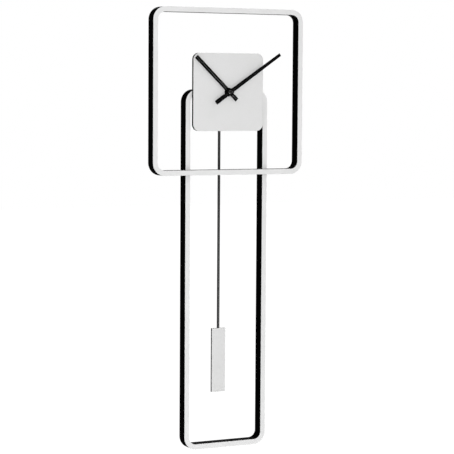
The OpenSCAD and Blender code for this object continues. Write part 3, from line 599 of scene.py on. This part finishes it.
def makeMinusSpring():
    low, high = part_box("contact_minus")
    x = (low.x + high.x) / 2
    y = (low.y + high.y) / 2
    wire = minusSpring["wireRadiusMm"] * mm
    plateTop = low.z + minusSpring["plateMm"] * mm
    foot = plateTop + wire * (1 - minusSpring["sunk"])
    head = high.z - wire
    turns = minusSpring["turns"]
    steps = int(turns * minusSpring["stepsPerTurn"])
    curve = bpy.data.curves.new("minusSpring", "CURVE")
    curve.dimensions = "3D"
    curve.bevel_depth = wire
    curve.bevel_resolution = minusSpring["wireFacets"]
    curve.use_fill_caps = True
    line = curve.splines.new("POLY")
    line.points.add(steps)
    for i, point in enumerate(line.points):
        t = i / steps
        angle = 2 * math.pi * turns * t
        radius = (minusSpring["footMm"] * (1 - t) + minusSpring["headMm"] * t) * mm
        z = foot + (head - foot) * t
        point.co = (x + radius * math.cos(angle), y + radius * math.sin(angle), z, 1)
    guide = addObject("springGuide", curve)
    graph = bpy.context.evaluated_depsgraph_get()
    mesh = bpy.data.meshes.new_from_object(guide.evaluated_get(graph))
    bpy.data.objects.remove(guide)
    mesh.materials.clear()
    mesh.materials.append(finishes["spring_steel"])
    spring = addObject("minusSpring", mesh)
    smoothShade(spring, minusSpring["smoothBelow"])
    dress(spring, "clock", "spring_steel", "contact_minus")
    corners = [
        (side, depth, level) for side in (low.x, high.x) for depth in (low.y, high.y)
        for level in (low.z, plateTop)]
    faces = [(0, 1, 3, 2), (4, 6, 7, 5), (0, 4, 5, 1), (2, 3, 7, 6), (0, 2, 6, 4), (1, 5, 7, 3)]
    plate = addMesh("minusPlate", corners, faces, finishes["spring_steel"])
    breakEdges(plate, minusSpring["plateEdgeMm"])
    applyModifiers(plate)
    smoothShade(plate)
    dress(plate, "clock", "spring_steel")


makeRod()
makeCap()
makeCell()
makeMinusSpring()
print("turned and wound pieces made")


def backgroundRays(tree):
    # 1 for the rays that see the background: camera, mirror and see-through ones
    path = addNode(tree, "ShaderNodeLightPath").outputs
    direct = addNode(tree, "ShaderNodeMath", {
        0: path["Is Camera Ray"], 1: path["Is Glossy Ray"]}, operation="MAXIMUM")
    seen = addNode(tree, "ShaderNodeMath", {
        0: direct.outputs[0], 1: path["Is Transmission Ray"]}, operation="MAXIMUM")
    return seen.outputs[0]


# a floor far below the clock. Its paint catches the shadow, and lift brings it up to white where
# the camera or a reflection sees it, without lighting the clock's matt surfaces
floor = {"z": -2.4, "size": 60.0, "colour": "#f2f2f2", "lift": 0.62}


def makeFloor():
    material = bpy.data.materials.new("Studio floor, matt white paint")
    material.use_nodes = True
    tree = material.node_tree
    tree.nodes.clear()
    lift = addNode(tree, "ShaderNodeMath", {
        0: backgroundRays(tree), 1: floor["lift"]}, operation="MULTIPLY")
    paint = addNode(tree, "ShaderNodeBsdfDiffuse", {"Color": fromHex(floor["colour"])})
    glow = addNode(tree, "ShaderNodeEmission", {"Strength": lift.outputs[0]})
    both = addNode(tree, "ShaderNodeAddShader", {0: paint.outputs[0], 1: glow.outputs[0]})
    addNode(tree, "ShaderNodeOutputMaterial", {"Surface": both.outputs[0]})
    half = floor["size"] / 2
    corners = [(x * half, y * half, floor["z"]) for x, y in ((-1, -1), (1, -1), (1, 1), (-1, 1))]
    addMesh("studioFloor", corners, [(0, 1, 2, 3)], material)


# a white studio: it is plain white where it is seen, and lights the clock softly from all round
studio = {"white": "#ffffff", "ambient": 0.5}

# the keys light the clock. The shine lamps only show in reflections, where they draw the ridge of
# each hand and a glint on the cap
keyLamp = {"size": 1.3, "aim": (0.0, -0.05, -0.25), "lights": True}
shineLamp = {"size": 0.3, "aim": (0.0, -0.05, -0.04), "lights": False}
lamps = {
    "frontKey": {**keyLamp, "at": (-2.25, -4.55, -0.05), "watts": 113.0},
    "backKey": {**keyLamp, "at": (2.0, 4.6, 0.9), "watts": 90.0},
    "hourShine": {**shineLamp, "at": (0.02, -1.83, -0.954), "watts": 100.0},
    "minuteShine": {**shineLamp, "at": (0.07, -1.65, 1.16), "watts": 30.0},
    "capShine": {**shineLamp, "at": (1.9, -0.52, 0.05), "watts": 30.0},
}


def makeLight():
    world = bpy.data.worlds.new("studioWorld")
    world.use_nodes = True
    tree = world.node_tree
    tree.nodes.clear()
    white = fromHex(studio["white"])
    soft = addNode(tree, "ShaderNodeBackground", {"Color": white, "Strength": studio["ambient"]})
    backdrop = addNode(tree, "ShaderNodeBackground", {"Color": white, "Strength": 1.0})
    mix = addNode(tree, "ShaderNodeMixShader", {
        0: backgroundRays(tree), 1: soft.outputs[0], 2: backdrop.outputs[0]})
    addNode(tree, "ShaderNodeOutputWorld", {"Surface": mix.outputs[0]})
    bpy.context.scene.world = world
    for name, lamp in lamps.items():
        data = bpy.data.lights.new(name, "AREA")
        data.energy = lamp["watts"]
        data.shape = "SQUARE"
        data.size = lamp["size"]
        holder = addObject(name, data)
        holder.visible_camera = False
        holder.visible_diffuse = lamp["lights"]
        away = Vector(lamp["aim"]) - Vector(lamp["at"])
        turn = away.to_track_quat("-Z", "Y").to_matrix().to_4x4()
        holder.matrix_world = Matrix.Translation(lamp["at"]) @ turn


# a long lens from the left, about level with the dial, with a slight downward tilt
view = {
    "at": (-1.42193, -2.92409, -0.03892), "yaw": 26.2756, "pitch": -4.4063, "roll": 0.3557,
    "lensMm": 140.57, "sensorMm": 36.0,
}


def makeCamera():
    yaw, pitch, roll = (math.radians(view[key]) for key in ("yaw", "pitch", "roll"))
    forward = Vector((
        math.sin(yaw) * math.cos(pitch), math.cos(yaw) * math.cos(pitch), math.sin(pitch)))
    level = Vector((math.cos(yaw), -math.sin(yaw), 0))
    above = level.cross(forward)
    right = math.cos(roll) * level + math.sin(roll) * above
    up = math.cos(roll) * above - math.sin(roll) * level
    data = bpy.data.cameras.new("camera")
    data.sensor_width = view["sensorMm"]
    data.lens = view["lensMm"]
    camera = addObject("camera", data)
    turn = Matrix((right, up, -forward)).transposed().to_4x4()
    camera.matrix_world = Matrix.Translation(view["at"]) @ turn
    bpy.context.scene.camera = camera


makeFloor()
makeLight()
makeCamera()
bpy.context.scene.view_settings.view_transform = "Standard"
print("stage, light and camera set")
